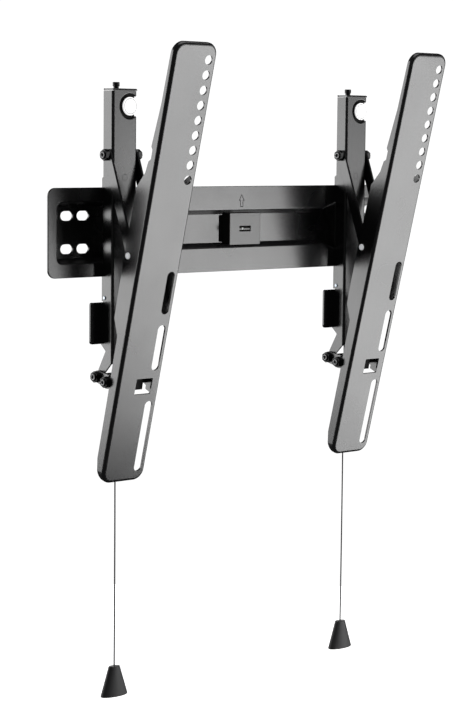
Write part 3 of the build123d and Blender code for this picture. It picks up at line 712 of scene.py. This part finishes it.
def moulded(name, dark, light, roughness, grain_scale, gloss=0.5):
    """A moulded surface with a fine spark grain."""
    finish, nodes, links, shader = new_finish(name)
    where = nodes.new("ShaderNodeTexCoord")
    grain = noise(nodes, links, where, grain_scale, 3.0, 0.65)
    slow = noise(nodes, links, where, TONE_SCALE, 2.0)
    links.new(
        two_tones(nodes, links, slow.outputs["Fac"], dark, light),
        shader.inputs["Base Color"],
    )
    links.new(
        spread(nodes, links, grain.outputs["Fac"], 0.3, 0.7, roughness - 0.06, roughness + 0.06),
        shader.inputs["Roughness"],
    )
    shader.inputs["Specular IOR Level"].default_value = gloss
    relief(nodes, links, shader, [(grain.outputs["Fac"], 0.00003, 0.5)])
    return finish


black_plastic = moulded(
    "Black moulded plastic", (0.010, 0.010, 0.011), (0.016, 0.016, 0.017), 0.32, 2200.0, 1.0
)
pull_plastic = moulded(
    "Matt pull plastic", (0.045, 0.045, 0.047), (0.058, 0.058, 0.060), 0.55, 1800.0
)
print("moulded plastics:", black_plastic.name, "and", pull_plastic.name)

# %% [markdown]
# The same helper makes the other small finishes, each with its own tone, gloss and grain.
# The rings of the nuts and the bumper discs are pale nylon, and the disc glows a little,
# because it is the whitest piece in the photograph. A matt black with hardly any gloss
# serves where only a dark spot is seen: the seat round the disc and the ends of the bolts.
# The lines in the disc and in the arrow are a grey and a black of painted shade, for the shade in
# their grooves.

# %% Nylon, matt black and painted shade lines
nylon = moulded("Pale nylon", (0.62, 0.63, 0.64), (0.72, 0.73, 0.74), 0.34, 1500.0, 1.0)
disc_white = moulded("Milky white nylon", (0.90, 0.90, 0.89), (0.95, 0.95, 0.94), 0.40, 1500.0)
glow(disc_white, (1.0, 1.0, 1.0), 0.70)
matt_black = moulded(
    "Matt black", (0.006, 0.006, 0.006), (0.010, 0.010, 0.010), 0.70, 1800.0, 0.15
)
# Painted shade: the grey line stands for the shade inside the disc's groove.
disc_groove_shade = moulded("Painted shade in the disc groove", (0.30, 0.30, 0.31), (0.40, 0.40, 0.41), 0.50, 1500.0)
# Painted shade: the black band stands for the shade inside the arrow's groove.
arrow_groove_shade = moulded(
    "Painted shade in the arrow groove", (0.004, 0.004, 0.004), (0.008, 0.008, 0.008), 0.70, 1500.0, 0.2
)
small_finishes = (nylon, disc_white, matt_black, disc_groove_shade, arrow_groove_shade)
print("small finishes:", [finish.name for finish in small_finishes])

# %% [markdown]
# The cord's braid is too fine to model on a line 1.5 mm thick. Bands across the cord, a little
# over a millimetre apart and made wavy by some distortion, give its change of tone and a low
# relief. Wound bands would need a UV map, and at this size nobody could tell.

# %% Braid of the cords
BRAID_SCALE = 260.0
braid, nodes, links, shader = new_finish("Braided cord")
where = nodes.new("ShaderNodeTexCoord")
bands = nodes.new("ShaderNodeTexWave")
bands.wave_type = "BANDS"
bands.bands_direction = "Z"
bands.inputs["Scale"].default_value = BRAID_SCALE
bands.inputs["Distortion"].default_value = 3.0
bands.inputs["Detail Scale"].default_value = 2.0
links.new(where.outputs["Object"], bands.inputs["Vector"])
links.new(
    two_tones(nodes, links, bands.outputs["Fac"], (0.03, 0.03, 0.031), (0.075, 0.075, 0.077)),
    shader.inputs["Base Color"],
)
shader.inputs["Roughness"].default_value = 0.75
relief(nodes, links, shader, [(bands.outputs["Fac"], 0.0001, 0.6)])
print("braid nodes:", len(nodes))

# %% [markdown]
# The vial is clear acrylic with a pale fluid in it. Real transmission would need light from
# behind, which the dark cap doesn't let in. So the tube takes the dark tone of the cap, the fluid
# is pale and glows a little, and both lie under a smooth gloss. The pale, glowing bar is a painted
# highlight of the tube as well as the fluid.

# %% Vial, and its fluid with a painted highlight
TUBE_SCALE = 300.0


def clear_tube(name, dark, light, roughness):
    """Clear acrylic: it takes the tone of what lies behind it, under a smooth gloss."""
    finish, nodes, links, shader = new_finish(name)
    where = nodes.new("ShaderNodeTexCoord")
    slow = noise(nodes, links, where, TUBE_SCALE, 2.0)
    links.new(
        two_tones(nodes, links, slow.outputs["Fac"], dark, light),
        shader.inputs["Base Color"],
    )
    shader.inputs["Roughness"].default_value = roughness
    return finish


vial_wall = clear_tube("Vial wall", (0.010, 0.011, 0.010), (0.020, 0.021, 0.020), 0.12)
# Painted highlight: the pale, glowing bar stands for the fluid and the tube's highlight.
fluid_highlight_finish = clear_tube("Vial fluid with painted highlight", (0.80, 0.82, 0.78), (0.90, 0.92, 0.88), 0.20)
glow(fluid_highlight_finish, (0.95, 1.0, 0.95), 0.40)
print("vial finishes:", vial_wall.name, "and", fluid_highlight_finish.name)

# %% [markdown]
# Each solid takes the finish of its material slot in the record, and a few take their own: the
# pulls, the disc's seat, the pivot rivets and the bolts. The names below leave out the side. Of
# the lower links only the two outer sides catch light. Every other face lies in the shade and gets
# painted shade, the darker and duller copy of the coat, picked out by its normal and by the side
# that it is on.

# %% Finish of each solid
FINISH = {
    "black_steel": steel_coat,
    "black_zinc": nut_coat,
    "zinc": zinc,
    "black_plastic": black_plastic,
    "white_plastic": disc_white,
    "vial": vial_wall,
    "cord": braid,
}
FINISH_BY_PIECE = {
    "pull": pull_plastic,
    "bumper_seat": matt_black,
    "pivot_rivets": rivet_zinc,
    "upper_bolt": matt_black,
    "lower_bolt": matt_black,
    "foot_bolt": matt_black,
}
for name, solid in frame["nodes"].items():
    solid.data.materials.clear()
    finish = FINISH_BY_PIECE.get(name.split("_", 1)[1], FINISH[slot_of[name]])
    solid.data.materials.append(finish)
    # Painted shade on the lower links: every face but the two outer sides takes the darker coat.
    if name.endswith("_lower_links"):
        solid.data.materials.append(painted_shade_coat)
        low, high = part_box(name)
        for face in solid.data.polygons:
            inward = face.normal.x * (face.center.x - (low[0] + high[0]) / 2) < 0
            face.material_index = int(inward or abs(face.normal.x) < 0.5)
print("solids with a finish:", sum(bool(s.data.materials) for s in frame["nodes"].values()))

# %% [markdown]
# The new pieces take their finishes in the same way. The level's cap is left out of every
# mirror image. Its dark side would otherwise show in the trough beside it, which is as
# light in the photograph as the rest of the plate.

# %% Finish of each new piece
for pieces, finish in (
    (cords.values(), braid),
    (nut_rings, nylon),
    (disc_lines, disc_groove_shade),
    (coils, nut_coat),
    ([fluid_highlight_bar], fluid_highlight_finish),
    ([arrow], arrow_groove_shade),
):
    for piece in pieces:
        piece.data.materials.append(finish)
frame["nodes"]["level_housing"].visible_glossy = False
print("finishes in use:", sorted({m.name for m in bpy.data.materials if m.users}))

# %% [markdown] The scene ends here.
